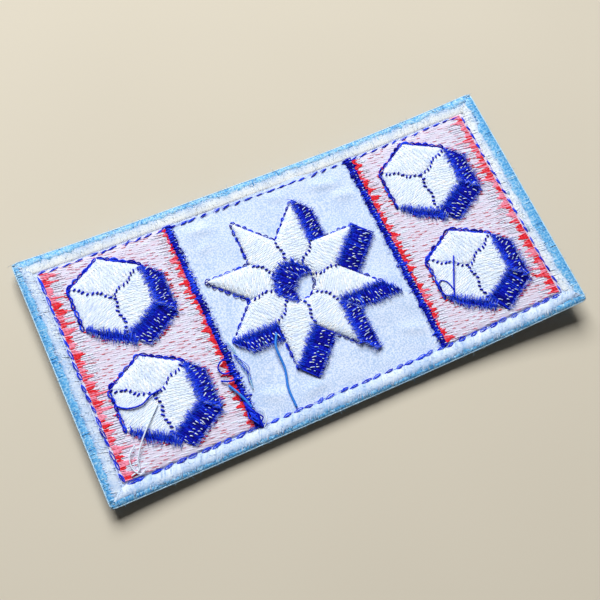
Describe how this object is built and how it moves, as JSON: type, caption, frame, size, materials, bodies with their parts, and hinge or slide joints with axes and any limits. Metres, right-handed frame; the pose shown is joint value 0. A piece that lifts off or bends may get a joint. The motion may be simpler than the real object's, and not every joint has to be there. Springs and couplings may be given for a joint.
{
  "type": "embroidered clothing patch",
  "caption": "Rectangular embroidered patch lying face down, with its stitched back, thread border and quilt-star design showing.",
  "frame": {"origin": "middle of the patch on the surface it lies on", "axes": "+X along the long edge, +Y across the width, +Z out of the back, away from the surface"},
  "size_m": [0.1, 0.05, 0.0054],
  "materials": {
    "cloth": "plain twill weave, matt",
    "film": "smooth non-woven film, soft sheen",
    "light_blue_thread": "fuzzy polyester thread",
    "white_thread": "polyester thread with a satin sheen",
    "navy_thread": "polyester thread with a satin sheen",
    "pink_fill": "white bobbin thread with red flecks, soft sheen",
    "red_thread": "polyester thread with a satin sheen"
  },
  "bodies": {
    "root": {"ground_cloth": "cloth", "backing_film": "film", "border_edge": "light_blue_thread", "border_band": "white_thread", "panel_fill_left": "pink_fill", "panel_fill_right": "pink_fill", "divider_left": "navy_thread", "divider_right": "navy_thread", "red_edge_left_outer": "red_thread", "red_edge_left_inner": "red_thread", "red_edge_right_inner": "red_thread", "red_edge_right_outer": "red_thread", "star_shadow": "navy_thread", "star": "white_thread", "hexagon_shadow_1": "navy_thread", "hexagon_shadow_2": "navy_thread", "hexagon_shadow_3": "navy_thread", "hexagon_shadow_4": "navy_thread", "hexagon_1": "white_thread", "hexagon_2": "white_thread", "hexagon_3": "white_thread", "hexagon_4": "white_thread", "face_fill_left": "red_thread", "face_fill_right": "red_thread", "face_divider_left": "navy_thread", "face_divider_right": "navy_thread", "face_star_shadow": "navy_thread", "face_star": "white_thread", "face_hexagon_shadow_1": "navy_thread", "face_hexagon_shadow_2": "navy_thread", "face_hexagon_shadow_3": "navy_thread", "face_hexagon_shadow_4": "navy_thread", "face_hexagon_1": "white_thread", "face_hexagon_2": "white_thread", "face_hexagon_3": "white_thread", "face_hexagon_4": "white_thread"}
  },
  "joints": []
}
